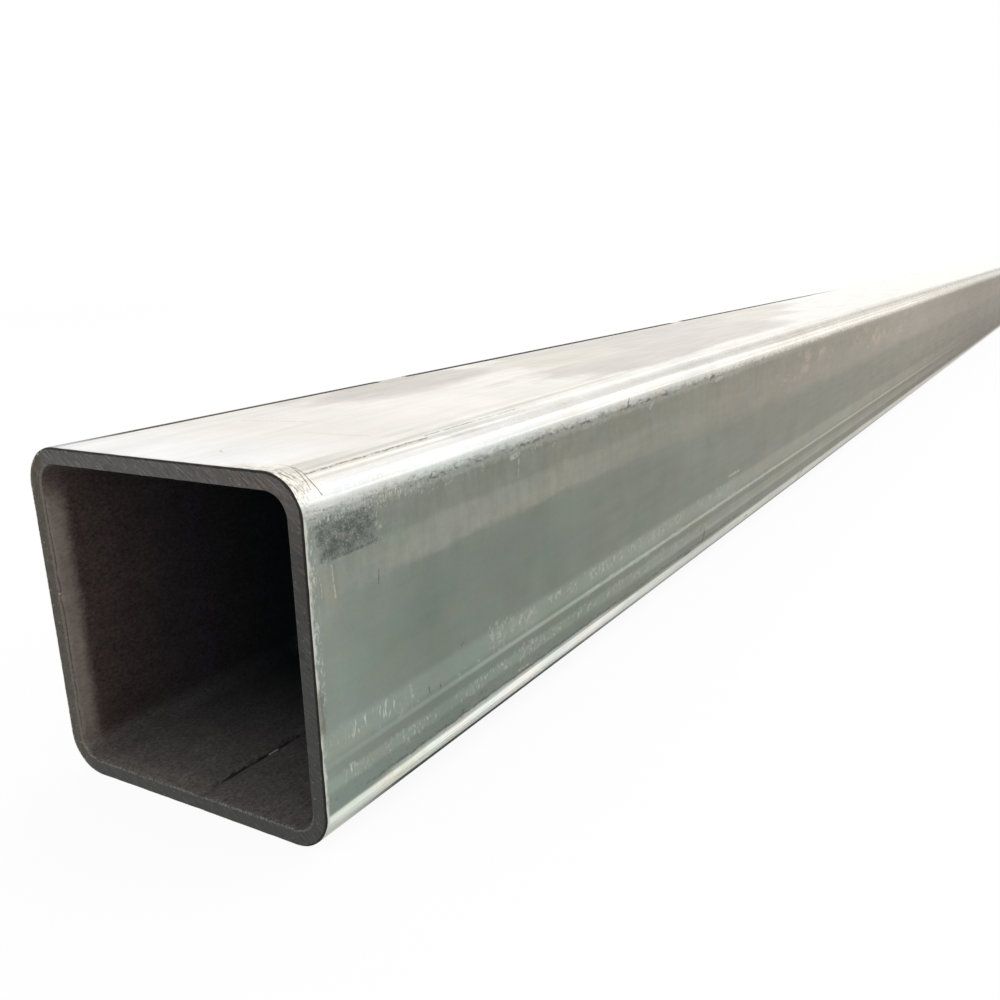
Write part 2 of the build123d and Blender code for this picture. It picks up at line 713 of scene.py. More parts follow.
# %% [markdown]
# ## Two maps of the surface
#
# A pattern that follows the rolling needs to know how far along the tube it is and how far around, also
# past the bends. The first map, called strip, gives just that, in metres, as if the tube were cut open
# at the weld and rolled flat again. The second is the one that a finished texture would be stored on. It
# must fit into a square, so it lays the outside, the bore and the two cuts in rows, and it spends more of
# its width on the ends, where there is more to see.

# %% Map of the strip
strip_map = tube_mesh.uv_layers.new(name="strip")
strip_places = [*around, strip_end]
ring_places = [[along(place) for place in strip_places] for zone, along in rings]
strip_values = []
for corners in face_corners:
    for ring, step in corners:
        strip_values += [ring_places[ring][step], strip_places[step]]
strip_map.data.foreach_set("uv", strip_values)
print("strip map made for", len(face_corners), "faces")

# %% Map for stored textures
near_stretch = 0.3
near_share = 0.45
far_stretch = 0.1
far_share = 0.1
map_edge = 0.01
outside_row = (map_edge, 0.42)
bore_row = (0.43, 0.66)
cut_row = (0.67, 0.99)


def squeeze_along(place):
    """A place along the tube, 0 to 1, with the ends stretched and the middle squeezed."""
    if place < near_stretch:
        return near_share * place / near_stretch
    if place > length - far_stretch:
        return 1 - far_share * (length - place) / far_stretch
    middle_length = length - near_stretch - far_stretch
    return near_share + (1 - near_share - far_share) * (place - near_stretch) / middle_length


def stored_place(zone, ring, step):
    """Where a point of the tube lies in the map for stored textures."""
    place = strip_places[step]
    if zone == "cut":
        x, y, z = points[ring * count + step % count]
        size = cut_row[1] - cut_row[0]
        left = map_edge if x < near_end + length / 2 else 2 * map_edge + size
        return left + size * (y / side + 0.5), cut_row[0] + size * z / side
    low, high = outside_row if zone == "outside" else bore_row
    across = (place - strip_start) / strip_width
    along = squeeze_along(ring_places[ring][step])
    return map_edge + (1 - 2 * map_edge) * along, low + (high - low) * across


stored_map = tube_mesh.uv_layers.new(name="OFBake")
stored_values = []
for zone_index, corners in zip(face_zones, face_corners):
    for ring, step in corners:
        stored_values += stored_place(zones[zone_index], ring, step)
stored_map.data.foreach_set("uv", stored_values)
tube_mesh.uv_layers.active = strip_map
print("stored map spans", round(min(stored_values), 3), "to", round(max(stored_values), 3))

# %% [markdown]
# ## The rolled skin
#
# The outside is bare, oiled steel. It isn't one grey: the rollers polished the bends, left bands and rows
# of small chatter marks along the walls, and everything is streaked lengthwise. Light is painted in as
# well: painted highlights make the bends almost white, the top wall is painted lighter than the front,
# and some edges carry painted shade. All of this could be painted, but a procedural finish stays sharp at
# any distance. The material reads the strip map in millimetres and builds one layer on another: first the
# ground tones and bands of this chapter, and in the next ones the bends, the stains and streaks, the
# single marks and the painted dark lines.
#
# The numbers below are such millimetres. Along, they count from the near cut. Around, which is called
# height, they count upwards from the middle of the front wall. The low bend lies at -38.6 and under, the
# high bend between 38.6 and 56.5, and the top wall from there to 133.7. A seed only picks the noise.


# %% Reading the strip map
def strip_coordinates(wiring):
    """(vector in millimetres, along, around) from the strip map."""
    strip = wiring.node("ShaderNodeUVMap", uv_map="strip")
    millimetres = wiring.vector("SCALE", strip.outputs["UV"], scale=1 / MM)
    apart = wiring.node("ShaderNodeSeparateXYZ")
    wiring.connect(apart.inputs[0], millimetres)
    return millimetres, apart.outputs["X"], apart.outputs["Y"]


def new_finish(name, metallic):
    """A material with its shader, and Patterns that write to its tree."""
    material = bpy.data.materials.new(name)
    material.use_nodes = True
    shader = material.node_tree.nodes["Principled BSDF"]
    shader.inputs["Metallic"].default_value = metallic
    return material, shader, Patterns(material.node_tree)


mill_skin, skin_shader, skin = new_finish("mill_skin", 1.0)
# At a grazing angle, oily steel mirrors a little less than all light, and warmer.
skin_shader.inputs["Specular Tint"].default_value = (0.8, 0.77, 0.72, 1.0)
place, along, height = strip_coordinates(skin)
length_mm = length / MM
from_cut = skin.math("MINIMUM", along, skin.math("SUBTRACT", length_mm, along))
print("mill skin reads the strip in millimetres")

# %% Edges that wander
flat_mm = flat / MM
arc_mm = arc / MM
pitch_mm = wall_pitch / MM


def shifted(value, pattern, reach):
    """A coordinate pushed to and fro by a pattern, by up to half the reach, so that edges wander."""
    return skin.math("MULTIPLY_ADD", skin.math("SUBTRACT", pattern, 0.5), reach, value)


ragged_height = shifted(height, skin.grain(place, (4.5, 1.5, 1), detail=5, rough=0.75, seed=20.0), 6.0)
drifting_height = shifted(height, skin.grain(place, (24, 5, 1), detail=5, rough=0.7, seed=22.0), 6.0)
along_pattern = skin.grain(place, (26, 14, 1), detail=3, rough=0.6, seed=25.0)
drifting_along = shifted(along, along_pattern, 70.0)
print("wandering coordinates made")

# %% Ground tones of the walls
front_tone = skin.ramp(
    along,
    (0, paint(133, 142, 135)),
    (48, paint(117, 126, 118)),
    (300, paint(128, 132, 125)),
    (900, paint(134, 132, 123)),
    (1300, paint(122, 119, 111)),
)
# Painted light: the top wall is painted much lighter than the front, for the bright sky that it mirrors.
top_sheen_tone = skin.ramp(
    along,
    (0, paint(186, 188, 194)),
    (45, paint(169, 169, 168)),
    (700, paint(161, 163, 164)),
)
on_front = skin.window(height, -flat_mm - arc_mm / 2, flat_mm + 4, 8)
on_top = skin.window(height, flat_mm + arc_mm - 5, pitch_mm + flat_mm, 4)
on_bottom = skin.rise(height, -flat_mm - arc_mm / 2, -flat_mm - arc_mm)
ground = skin.colour(on_front, paint(138, 137, 130), front_tone)
ground = skin.colour(on_top, ground, top_sheen_tone)
ground = skin.colour(on_bottom, ground, paint(126, 123, 116))
print("ground tones laid")

# %% The upper band of the front wall
upper_tone = skin.ramp(
    along,
    (0, paint(138, 141, 133)),
    (300, paint(140, 139, 130)),
    (850, paint(156, 150, 142)),
    (1300, paint(134, 128, 120)),
)
# The lower edge of the band sinks by 5.5 mm on its way along, and it is sharp only near the cut.
upper_edge = skin.math("MULTIPLY_ADD", skin.rise(along, 150, 450), 5.5, drifting_height)
upper_soft = skin.rise(upper_edge, 13.5, 21.5)
upper_sharp = skin.rise(upper_edge, 16.4, 19.2)
upper_band = skin.number(skin.rise(along, 110, 260), upper_sharp, upper_soft)
upper_band = skin.product(upper_band, skin.rise(height, 44, 41))
under_bend = skin.product(skin.rise(drifting_height, 26.4, 29.2), skin.rise(along, 20, 32))
under_shade = skin.number(skin.rise(along, 110, 260), 0.84, 0.96)
upper_tone = skin.scaled(upper_tone, skin.number(under_bend, 1.0, under_shade))
upper_share = skin.number(skin.rise(shifted(along, along_pattern, 30.0), 14, 46), 0.35, 1.0)
ground = skin.colour(skin.product(upper_band, upper_share), ground, upper_tone)
print("upper band laid")

# %% Bands and lines that the rollers left low on the front wall
far_fade = skin.rise(along, 1500, 700)
# Lowest and highest place, softness and strength of each band, and where it starts and is full.
pale_bands = (
    (-23.6, -16.2, 3.4, 0.3, -60, 60),
    (-25.9, -24.4, 1.0, 0.82, -50, 150),
    (-32.7, -29.2, 1.6, 0.24, -200, 20),
    (-34.2, -32.4, 0.9, 0.36, 90, 300),
)
# The lift starts at 1, each band adds to it, and the ground is scaled by the sum.
lift = skin.math("ADD", 1.0, 0.0)
for low, high, soft, amount, start, full in pale_bands:
    band = skin.product(skin.window(height, low, high, soft), skin.rise(along, start, full))
    lift = skin.math("MULTIPLY_ADD", band, skin.product(far_fade, amount), lift)
# The front wall darkens downwards, far along, in two steps: where each begins and ends, and its strength.
far_shades = ((-2, -20, -0.24), (-22, -36, -0.12))
for top, bottom, amount in far_shades:
    shade = skin.product(skin.rise(height, top, bottom), skin.rise(along, 450, 1000))
    lift = skin.math("MULTIPLY_ADD", shade, amount, lift)
ground = skin.scaled(ground, lift)
print(len(pale_bands), "pale bands laid")

# %% [markdown]
# ## The polished bends and their painted highlights
#
# The rollers press hardest where the strip is bent, so the bends are polished, in narrow tracks that run
# its whole length. The tones of the tracks are partly painted highlights, which make the bends the
# brightest part of the tube. The tracks could be strips of mesh with materials of their own, but then
# their edges would be dead straight. Here each track is a window of the place around the strip, pushed
# to and fro by a noise that is drawn out lengthwise, and laid over the ground tone.

# %% The low front bend: a pale polished streak, with a painted highlight
# Painted highlight: the near-white tones of the streak stand in for the pale floor that the bend mirrors.
low_bend_highlight_tone = skin.ramp(
    along,
    (0, paint(222, 226, 218)),
    (60, paint(254, 255, 253)),
    (150, paint(255, 255, 255)),
    (260, paint(208, 214, 211)),
    (900, paint(197, 198, 191)),
    (1300, paint(114, 110, 104)),
)
low_bend_lines = skin.grain(place, (45, 0.45, 1), detail=4, rough=0.65, seed=21.0)
scale_grains = skin.grain(place, (3.0, 1.2, 1), detail=4, rough=0.7, seed=42.0)
low_bend_height = shifted(height, low_bend_lines, 1.6)
# Between 28 and 180 mm from the cut, the streak reaches higher and frays out.
frayed_reach = (28, 180, 24)
streak_height = skin.math("MULTIPLY_ADD", skin.window(along, *frayed_reach), -0.3, low_bend_height)
low_bend_fringe = skin.rise(low_bend_height, -37.3, -38.2)
low_bend_fringe = skin.product(low_bend_fringe, skin.window(along, *frayed_reach), 0.32)
low_bend = skin.math("MAXIMUM", low_bend_fringe, skin.rise(streak_height, -38.3, -39.9))
ground = skin.colour(low_bend, ground, low_bend_highlight_tone)
print("low bend laid")

# %% The underside of the low bend, with a painted reflection of the floor, its grey lines and a smear of oil
low_bend_under = skin.rise(low_bend_height, -40.9, -43.4)
# Painted reflection: the underside faces the pale floor, so it is painted light.
under_reflection_tone = skin.ramp(
    along,
    (0, paint(186, 193, 189)),
    (130, paint(214, 220, 216)),
    (450, paint(190, 192, 186)),
    (1300, paint(208, 207, 200)),
)
ground = skin.colour(low_bend_under, ground, under_reflection_tone)
low_bend_grey = skin.product(low_bend, skin.rise(low_bend_lines, 0.50, 0.64))
low_bend_grey = skin.product(low_bend_grey, skin.number(skin.window(along, 90, 190, 40), 0.55, 0.15))
ground = skin.colour(low_bend_grey, ground, paint(140, 148, 142))
smear_place = skin.window(drifting_along, 18, 38, 14)
oil_smear = skin.product(low_bend, smear_place, skin.rise(scale_grains, 0.45, 0.6), 0.5)
ground = skin.colour(oil_smear, ground, paint(222, 220, 184))
print("underside of the low bend laid")

# %% The high front bend, polished in tracks, with painted highlights
# Painted highlight: the bright foot of the bend, lightest from 450 to 750 mm along.
bend_foot_highlight_tone = skin.ramp(
    along,
    (250, paint(205, 206, 203)),
    (450, paint(238, 236, 230)),
    (750, paint(238, 235, 229)),
    (1300, paint(172, 170, 164)),
)
bend_fringe = skin.rise(ragged_height, 36.2, 38.0)
bend_fringe = skin.product(bend_fringe, skin.number(skin.rise(along, 300, 500), 0.2, 0.06))
on_high_bend = skin.math("MAXIMUM", bend_fringe, skin.rise(ragged_height, 37.9, 41.4))
on_high_bend = skin.product(on_high_bend, skin.rise(height, 58.0, 56.0))
ground = skin.colour(on_high_bend, ground, bend_foot_highlight_tone)
bend_lines = skin.grain(place, (70, 0.6, 1), detail=3, rough=0.6, seed=26.0)
bend_height = shifted(height, bend_lines, 0.9)
# Lowest and highest place of each track, then the tones that it has along the tube. These tones are
# partly painted highlights.
bend_tracks = (
    (42.8, 44.6, (0, paint(175, 176, 176)), (1300, paint(166, 166, 160))),
    (44.6, 46.5, (0, paint(192, 191, 189)), (240, paint(203, 203, 202)), (420, paint(162, 162, 159))),
    (46.5, 49.1, (0, paint(180, 178, 173)), (100, paint(212, 212, 211)), (900, paint(185, 185, 180))),
    (49.1, 50.7, (90, paint(166, 165, 160)), (160, paint(201, 203, 204)), (1300, paint(176, 176, 171))),
    (50.7, 54.8, (0, paint(164, 163, 159)), (50, paint(174, 175, 173)), (900, paint(178, 181, 183))),
    (54.8, 59.0, (0, paint(184, 184, 181)), (50, paint(167, 167, 165)), (400, paint(162, 162, 160))),
)
for low, high, *stops in bend_tracks:
    ground = skin.colour(skin.window(bend_height, low, high, 0.9), ground, skin.ramp(along, *stops))
faint_line = skin.product(skin.window(bend_height, 47.5, 48.3, 0.6), skin.rise(along, 140, 60), 0.4)
ground = skin.colour(faint_line, ground, paint(150, 146, 138))
# A dark gap in the painted highlights. It isn't parallel to the tube: it climbs by a millimetre in every 80.
bend_dark_height = skin.math("MULTIPLY_ADD", skin.math("SUBTRACT", along, 50), -1 / 80, bend_height)
bend_dark_line = skin.product(skin.window(bend_dark_height, 51.5, 52.6, 0.8), skin.rise(along, 330, 220), 0.75)
ground = skin.colour(bend_dark_line, ground, paint(152, 150, 143))
print(len(bend_tracks), "tracks laid on the high bend")

# %% The worn corner of the high bend
worn_grains = skin.grain(place, (0.7, 1.8, 1), detail=4, rough=0.75, seed=45.0)
worn_edge = skin.rise(shifted(from_cut, scale_grains, 7.0), 7.0, 2.5)
worn_edge = skin.product(worn_edge, skin.window(height, 42, 68, 6))
worn_tone = skin.colour(skin.rise(worn_grains, 0.36, 0.60), paint(112, 106, 98), paint(192, 192, 186))
ground = skin.colour(skin.product(worn_edge, 0.8), ground, worn_tone)
print("worn corner laid")

# %% The two bends at the back
# The distance from the middle of the nearest bend, whichever of the four that is.
first_bend = flat_mm + arc_mm / 2
from_bend = skin.math("PINGPONG", skin.math("ADD", height, 2 * pitch_mm - first_bend), pitch_mm / 2)
back_bends = skin.product(skin.rise(from_bend, 9, 6), skin.rise(height, pitch_mm, pitch_mm + 10))
ground = skin.colour(back_bends, ground, paint(168, 167, 161))
print("back bends laid")

# %% [markdown]
# ## Stains, clouds and grain
#
# Away from the bends the skin is uneven in a softer way. Oil dried in dull patches with cloudy edges, a
# dark line of painted shade runs by the back bend, and the rolling drew everything out into streaks. One
# noise would show its own pattern. Several are used, of sizes from a hand's length to less than a
# millimetre, and each one swings the tone that the others left by its own share.

# %% Dull areas of the top wall
dull_clouds = skin.grain(place, (90, 16, 1), detail=4, rough=0.6, seed=39.0)


def dull_area(under, start, end, low, high, soft_along, soft_around, tone):
    """The colour under it, with a tone laid over an area of the strip whose edges are cloudy."""
    inside = skin.window(drifting_along, start, end, soft_along)
    inside = skin.product(inside, skin.window(drifting_height, low, high, soft_around))
    return skin.colour(skin.rise(shifted(inside, dull_clouds, 1.1), 0.15, 0.85), under, tone)


# Start and end, lowest and highest place, softness along and around, and tone of each area.
dull_areas = (
    (185, 340, 55.0, 88, 80, 10, paint(130, 129, 128)),
    (95, 200, 102, 140, 80, 36, paint(129, 128, 126)),
    (480, 700, 104, 140, 160, 20, paint(136, 134, 132)),
    (210, 600, 84, 122, 80, 24, paint(143, 140, 135)),
    (220, 560, 118, 131, 60, 8, paint(134, 133, 131)),
    (300, 500, 57, 140, 160, 12, paint(130, 129, 128)),
    (340, 480, 114, 126, 60, 8, paint(124, 123, 120)),
)
for area in dull_areas:
    ground = dull_area(ground, *area)
print(len(dull_areas), "dull areas laid")

# %% The dark line by the back bend, painted shade along the edge
# Between 140 and 240 mm from the cut, the line moves by a millimetre towards the front.
back_shade_height = skin.math("ADD", shifted(height, bend_lines, 0.6), skin.rise(along, 140, 240))
# Painted shade: a near-black line where the top wall turns away at the back bend.
back_shade_line = skin.product(skin.window(back_shade_height, 132.0, 136.2, 0.25), skin.rise(along, 950, 720))
line_gaps = skin.math("MAXIMUM", skin.window(along, 150, 168, 2.0), skin.window(along, 466, 482, 2.0))
back_shade_line = skin.product(back_shade_line, skin.math("SUBTRACT", 1.0, line_gaps))
back_shade_tone = skin.colour(skin.rise(along, 60, 140), paint(58, 50, 45), paint(18, 14, 12))
gap_dirt = skin.product(skin.window(along, 148, 171, 4), skin.window(height, 127.4, 130.4, 1.2), 0.7)
gap_dirt = skin.product(gap_dirt, skin.rise(scale_grains, 0.40, 0.54))
ground = skin.colour(gap_dirt, ground, paint(96, 88, 80))
ground = skin.colour(skin.product(back_shade_line, skin.rise(along, 2, 30)), ground, back_shade_tone)
print("dark line laid")

# %% Streaks and grain
in_upper = skin.window(height, 16, 41, 10)
smear = skin.grain(place, (4.0, 12, 1), detail=4, rough=0.62, seed=3.0)
scales = skin.grain(place, (7.0, 2.6, 1), detail=4, rough=0.65, seed=27.0)
# The tone starts at 1, and each pattern swings it.
tone = skin.math("ADD", 1.0, 0.0)
tone = skin.vary(tone, skin.grain(place, (60, 20, 1), detail=3, rough=0.6, seed=5.0), 0.34)
tone = skin.vary(tone, skin.grain(place, (13, 22, 1), detail=3, rough=0.6, seed=4.0), 0.2)
brushing = skin.grain(place, (170, 1.7, 1), detail=3, seed=1.0)
tone = skin.vary(tone, brushing, skin.number(on_front, 0.14, 0.05))
streaks = skin.grain(place, (42, 4.5, 1), detail=3, seed=2.0)
tone = skin.vary(tone, streaks, skin.number(on_front, 0.2, 0.1))
tone = skin.vary(tone, skin.number(in_upper, 0.5, smear), skin.number(skin.rise(along, 90, 220), 0.44, 0.26))
tone = skin.vary(tone, skin.number(in_upper, 0.5, scales), 0.18)
tone = skin.vary(tone, skin.grain(place, (0.9, 0.7, 1), detail=2, rough=0.7, seed=6.0), 0.16)
ground = skin.scaled(ground, tone)
print("streaks laid")

# %% Warm and cool clouds, and scuffs
warm_clouds = skin.rise(skin.grain(place, (24, 9, 1), detail=4, rough=0.65, seed=28.0), 0.4, 0.66)
warm_clouds = skin.product(warm_clouds, skin.number(on_top, 0.5, 0.12))
ground = skin.colour(warm_clouds, ground, (1.03, 0.97, 0.88, 1.0), blend="MULTIPLY")
cool_clouds = skin.rise(skin.grain(place, (38, 20, 1), detail=3, rough=0.6, seed=43.0), 0.45, 0.62)
cool_clouds = skin.product(cool_clouds, on_front, skin.rise(along, 420, 150))
ground = skin.colour(skin.product(cool_clouds, 0.8), ground, (0.94, 1.01, 0.99, 1.0), blend="MULTIPLY")
warm_smear = skin.rise(smear, 0.36, 0.56)
near_cut = skin.window(drifting_along, 0, 11, 8)
warm_corner = skin.product(warm_smear, near_cut, skin.window(height, 9, 27, 6))
ground = skin.colour(skin.product(warm_corner, 0.9), ground, (1.13, 1.01, 0.95, 1.0), blend="MULTIPLY")
scuffs = skin.rise(skin.grain(place, (16, 7, 1), detail=4, rough=0.7, seed=46.0), 0.5, 0.64)
scuff_places = skin.window(drifting_along, 600, 840, 120)
near_scuffs = skin.product(skin.window(drifting_along, 400, 520, 60), 0.7)
scuff_places = skin.math("MAXIMUM", scuff_places, near_scuffs)
scuffs = skin.product(scuffs, scuff_places, skin.window(drifting_height, 20, 36, 6), 0.8)
ground = skin.colour(scuffs, ground, paint(182, 165, 150))
print("clouds and scuffs laid")

# %% [markdown]
# ## Flecks, scratches and a rubbed patch
#
# Where the strip chattered between the rollers it has rows of small bright flecks, and handling left
# knocks, scratches and a dull patch by the near cut. The many small marks are the peaks of a fine noise,
# kept inside narrow areas. The few that stand out are drawn one by one. A picture of scratches would
# be quicker, but it would blur close by, and a mark couldn't be moved on its own.

# %% Rows of flecks where the strip chattered between the rollers
fleck_clusters = skin.rise(skin.grain(place, (6, 9, 1), detail=3, rough=0.6, seed=44.0), 0.40, 0.58)


def flecks(low, high, start, end, size_along, size_around, cut, seed):
    """Small bright flecks, in clusters, inside an area of the strip: the soft peaks of a fine noise."""
    grains = skin.grain(place, (size_along, size_around, 1), detail=2.0, rough=0.6, seed=seed)
    area = skin.window(drifting_height, low, high, 1.8)
    area = skin.product(area, skin.window(drifting_along, start, end, min(14, (end - start) / 3)))
    return skin.product(skin.rise(grains, cut, cut + 0.15), area, fleck_clusters)


# Around, along and fleck size, then the cut through the noise, its seed, the strength and the tone.
fleck_rows = (
    ((-22.0, -16.8), (3.0, 31), (0.9, 4.0), 0.53, 7.0, 0.85, paint(192, 199, 191)),
    ((-24.4, -22.8), (24, 105), (2.2, 1.6), 0.54, 8.0, 0.6, paint(176, 182, 175)),
    ((-22.0, -14.5), (86, 112), (1.6, 1.8), 0.46, 29.0, 0.5, paint(178, 174, 168)),
    ((-20.6, -16.6), (100, 330), (1.8, 2.4), 0.48, 30.0, 0.6, paint(182, 185, 177)),
    ((-26.0, -24.0), (150, 460), (6.0, 0.8), 0.46, 31.0, 0.55, paint(190, 192, 184)),
    ((-33.4, -29.0), (1, 18), (0.9, 3.6), 0.52, 32.0, 0.75, paint(192, 199, 193)),
    ((-33.0, -29.6), (17, 120), (1.1, 1.7), 0.50, 33.0, 0.55, paint(178, 185, 178)),
    ((-32.6, -28.8), (100, 300), (1.6, 1.8), 0.48, 34.0, 0.5, paint(178, 183, 175)),
    ((28.0, 38.0), (24, 32), (0.8, 1.8), 0.50, 35.0, 0.7, paint(190, 195, 189)),
    ((35.0, 39.5), (20, 130), (1.0, 1.1), 0.52, 36.0, 0.5, paint(176, 177, 171)),
)
for heights, reach, sizes, cut, seed, strength, fleck_tone in fleck_rows:
    fleck_row = flecks(*heights, *reach, *sizes, cut, seed)
    ground = skin.colour(skin.product(fleck_row, strength), ground, fleck_tone)
print(len(fleck_rows), "rows of flecks laid")

# %% Dark grains along both front bends
bend_grains = skin.grain(place, (2.6, 0.8, 1), detail=4, rough=0.72, seed=9.0)
dark_grains = skin.product(skin.rise(bend_grains, 0.50, 0.64), skin.window(height, 38.2, 40.8, 2.0), 0.65)
ground = skin.colour(dark_grains, ground, paint(98, 101, 95))
foot_line = skin.rise(bend_grains, 0.46, 0.60)
foot_line = skin.product(foot_line, skin.window(shifted(height, smear, 3.0), 38.3, 39.2, 0.7))
foot_line = skin.product(foot_line, skin.window(along, 34, 300, 20), fleck_clusters, 0.9)
ground = skin.colour(foot_line, ground, paint(80, 81, 76))
pits = skin.rise(skin.grain(place, (1.1, 1.4, 1), detail=2.5, rough=0.7, seed=40.0), 0.66, 0.78)
pits = skin.product(pits, skin.window(height, -37.5, -15.5, 3.0), 0.6)
ground = skin.colour(pits, ground, paint(88, 95, 90))
low_grains = skin.product(skin.rise(bend_grains, 0.53, 0.66), skin.window(height, -38.2, -33.6, 1.0))
low_grains = skin.product(low_grains, skin.number(skin.window(drifting_along, 40, 85, 20), 0.3, 0.7))
ground = skin.colour(skin.product(low_grains, skin.rise(along, 600, 300)), ground, paint(92, 98, 92))
low_line = skin.window(shifted(height, smear, 2.6), -37.6, -36.9, 0.7)
low_line = skin.product(low_line, skin.rise(bend_grains, 0.38, 0.54), skin.window(along, 18, 340, 20), 0.75)
ground = skin.colour(low_line, ground, paint(82, 90, 85))
print("bend grains laid")

# %% The dull patch by the near cut
patch_along = shifted(along, skin.grain(place, (4, 2, 1), detail=5, rough=0.75, seed=38.0), 11.0)
patch_foot = skin.rise(shifted(height, scale_grains, 1.2), 26.8, 27.6)
patch = skin.product(skin.window(patch_along, 4.8, 27.0, 3.6), patch_foot)
patch = skin.product(patch, skin.rise(ragged_height, 38.8, 36.2))
patch_clouds = skin.grain(place, (2.8, 1.7, 1), detail=5, rough=0.78, seed=11.0)
patch_tone = skin.colour(skin.rise(patch_clouds, 0.34, 0.66), paint(78, 86, 82), paint(121, 123, 117))
ground = skin.colour(skin.product(patch, 0.92), ground, patch_tone)


def hairlines(sizes, seed, width):
    """Fine curved scratches: the places where a smooth noise crosses its middle value."""
    smooth = skin.grain(place, sizes, detail=0.5, seed=seed)
    crossing = skin.math("ABSOLUTE", skin.math("SUBTRACT", smooth, 0.5))
    return skin.rise(crossing, width, width / 3)


hair_width = 0.010
patch_scratches = hairlines((1.3, 4.0, 1), 10.0, hair_width)
patch_scratches = skin.math("MAXIMUM", patch_scratches, hairlines((2.6, 1.1, 1), 41.0, hair_width))
patch_scratches = skin.product(patch_scratches, skin.window(height, 26, 42, 4), skin.window(along, 3, 32, 4))
patch_scratches = skin.product(patch_scratches, skin.rise(patch_clouds, 0.36, 0.5), 0.6)
ground = skin.colour(patch_scratches, ground, paint(172, 177, 171))
print("patch laid")

# %% Flecks beside the cut and under the near part of the bend
flecked = skin.product(skin.rise(from_cut, 4.6, 2.4), skin.window(height, -12, 40, 6))
flecked_bend = skin.product(skin.window(height, 36.5, 43.5, 3.0), skin.rise(along, 75, 28))
flecked = skin.math("MAXIMUM", flecked, flecked_bend)
skin_flecks = skin.rise(skin.grain(place, (0.7, 1.6, 1), detail=3, rough=0.7, seed=46.0), 0.53, 0.62)
ground = skin.colour(skin.product(flecked, skin_flecks, 0.45), ground, paint(206, 213, 207))
print("near flecks laid")

# %% A place that wobbles, so that a scratch isn't dead straight
wobble_reach = 0.7
wobble_noise = skin.node("ShaderNodeTexNoise")
skin.connect(wobble_noise.inputs["Vector"], place)
wobble_noise.inputs["Scale"].default_value = 0.35
wobble = skin.vector("SUBTRACT", wobble_noise.outputs["Color"], (0.5, 0.5, 0.5))
wobbly_place = skin.vector("ADD", place, skin.vector("SCALE", wobble, scale=wobble_reach))
print("scratches wobble by up to", wobble_reach / 2, "mm")

# %% Dark marks
# Each mark has a start and an end, as places along and around in millimetres, and a width.
dark_marks = (
    ((8, 50.0), (60, 50.1), 0.45),
    ((60, 51.0), (112, 51.2), 0.3),
    ((52, 38.2), (54, 39.6), 0.9),
    ((27.4, 16.2), (27.9, 19.6), 0.5),
    ((66.3, -14.7), (67.4, -14.4), 0.7),
    ((283, -37.5), (286, -33.0), 1.4),
    ((258, -38.2), (266, -38.6), 1.0),
    ((352, -42.2), (357, -42.0), 1.2),
    ((188, 39.0), (191, 42.0), 1.0),
    ((224, 38.8), (230, 39.0), 0.9),
    ((284, 38.4), (288, 40.0), 1.4),
    ((56, 116), (62, 94), 0.4),
    ((46, 84), (48, 61), 0.3),
    ((14.3, 83.2), (15.4, 84.8), 0.7),
    ((460, -43), (470, -38), 1.5),
    ((30, -42.0), (130, -42.2), 0.25),
    ((48, -43.1), (150, -43.2), 0.3),
    ((55, -39.0), (56.5, -37.4), 0.4),
    ((48.2, -21.0), (48.6, -23.2), 0.6),
    ((54, -22.2), (54.4, -24.0), 0.6),
)
print(len(dark_marks), "dark marks")

# %% Light marks
light_marks = (
    ((0.6, 60.5), (6.2, 47.5), 0.35),
    ((2.4, 61.5), (9.5, 50.0), 0.3),
    ((5.2, 60.0), (8.6, 46.0), 0.3),
    ((0.4, 52.5), (3.4, 44.5), 0.4),
    ((9.2, 26.0), (10.0, 17.5), 0.5),
    ((4.6, 24.0), (4.9, 19.0), 0.35),
    ((101, -36.2), (108, -36.4), 0.6),
    ((98, 36.0), (103, 36.6), 1.6),
    ((102.4, 29), (102.8, 35), 0.7),
    ((211, 35.6), (215, 37.2), 1.6),
    ((292, 37.0), (301, 37.6), 1.8),
    ((318, -13.6), (336, -13.8), 1.2),
)
print(len(light_marks), "light marks")


# %% Drawing the marks as broken strokes
def all_strokes(marks):
    """The strongest of several strokes."""
    strongest = skin.stroke(wobbly_place, *marks[0])
    for mark in marks[1:]:
        strongest = skin.math("MAXIMUM", strongest, skin.stroke(wobbly_place, *mark))
    return strongest


mark_breaks = skin.rise(skin.grain(place, (1.2, 1.2, 1), detail=3, rough=0.7, seed=37.0), 0.34, 0.56)
dark_strokes = skin.product(all_strokes(dark_marks), mark_breaks)
light_strokes = skin.product(all_strokes(light_marks), mark_breaks)
ground = skin.colour(skin.product(dark_strokes, 0.7), ground, paint(92, 88, 80))
ground = skin.colour(skin.product(light_strokes, 0.45), ground, paint(196, 197, 190))
print(len(dark_marks) + len(light_marks), "single marks laid")

# %% Rusty scratches in the worn corner
corner_scratches = (
    ((7.4, 57.5), (7.5, 53.0), 0.25),
    ((7.4, 53.8), (6.3, 48.0), 0.35),
    ((6.5, 49.0), (6.1, 45.6), 0.3),
    ((7.9, 53.2), (7.7, 47.3), 0.35),
    ((7.7, 47.6), (8.8, 43.6), 0.35),
    ((1.8, 53.0), (3.0, 49.6), 0.35),
    ((3.4, 55.0), (4.2, 49.0), 0.25),
)
scratched = skin.product(all_strokes(corner_scratches), skin.rise(worn_grains, 0.28, 0.42), 0.9)
ground = skin.colour(scratched, ground, paint(92, 80, 66))
print(len(corner_scratches), "corner scratches")

